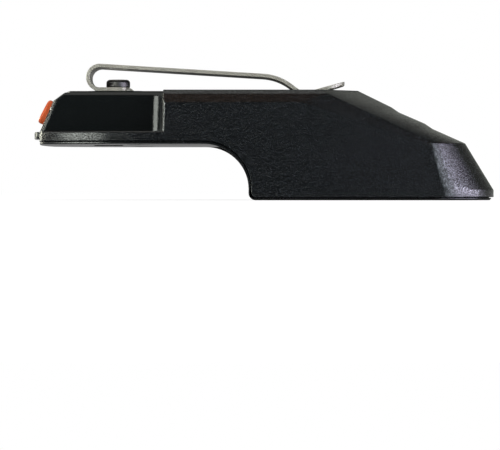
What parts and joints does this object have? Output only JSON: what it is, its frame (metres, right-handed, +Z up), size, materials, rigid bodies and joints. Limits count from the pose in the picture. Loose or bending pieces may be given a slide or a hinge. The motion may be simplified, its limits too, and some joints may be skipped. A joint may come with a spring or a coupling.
{
  "type": "battery adapter",
  "caption": "Black slide-on battery adapter with a belt clip, an orange push button and power sockets in a sloped front; it slides onto a cordless tool battery.",
  "frame": {"origin": "under the middle of the part's box, on the plane that the skirts' rim stands on", "axes": "+X along the length to the closed rear end, +Y to the left, +Z up to the belt clip"},
  "size_m": [0.124, 0.074, 0.037],
  "materials": {
    "housing_plastic": "black moulded plastic, fine spark texture",
    "frame_plastic": "black moulded plastic, satin",
    "spring_steel": "zinc plated spring steel",
    "dark_screw": "black oxide steel",
    "brass_insert": "knurled brass",
    "button_plastic": "orange moulded plastic, satin",
    "switch_plastic": "switch housing, black",
    "board_laminate": "green solder mask on laminate",
    "header_metal": "gold plated pins in a strip",
    "socket_steel": "nickel plated sheet",
    "socket_plastic": "black insert",
    "contact_metal": "plated contact metal",
    "ferrite": "pressed iron powder",
    "can_aluminium": "aluminium can",
    "chip_plastic": "moulded epoxy",
    "fuse_metal": "plated caps on a ceramic body",
    "terminal_plastic": "glass filled black plastic",
    "zinc_screw": "zinc plated steel"
  },
  "bodies": {
    "housing": {"upper_housing": "housing_plastic", "rail_frame": "frame_plastic", "belt_clip_tab": "spring_steel", "belt_clip_bend": "spring_steel", "clip_screw": "dark_screw", "clip_nut": "brass_insert", "switch_housing": "switch_plastic", "switch_board": "board_laminate", "switch_header": "header_metal", "usb_shell_right": "socket_steel", "usb_shell_left": "socket_steel", "usb_insert_right": "socket_plastic", "usb_insert_left": "socket_plastic", "usb_contacts_right": "contact_metal", "usb_contacts_left": "contact_metal", "main_board": "board_laminate", "power_inductors": "ferrite", "input_capacitors": "can_aluminium", "output_capacitors": "can_aluminium", "converter_chips": "chip_plastic", "rectifier_diodes": "chip_plastic", "input_fuse": "fuse_metal", "terminal_block": "terminal_plastic", "positive_blade": "contact_metal", "negative_blade": "contact_metal", "signal_blades": "contact_metal", "terminal_screws": "zinc_screw", "board_screws": "zinc_screw", "housing_screws": "dark_screw"},
    "button": {"power_button": "button_plastic", "switch_plunger": "switch_plastic"},
    "clip_arm": {"belt_clip_arm": "spring_steel"}
  },
  "joints": [
    {"name": "button_press", "type": "slide", "parent": "housing", "child": "button", "axis": [0.9169, 0, -0.3991], "range_m": [0, 0.0008], "stiffness_N_per_m": 200, "springref_m": -0.002},
    {"name": "clip_flex", "type": "hinge", "parent": "housing", "child": "clip_arm", "pos_m": [-0.0439, 0, 0.0333], "axis": [0, -1, 0], "range_deg": [0, 4], "stiffness_Nm_per_rad": 3, "springref_deg": -2.86, "deforming": ["belt_clip_bend"]}
  ]
}
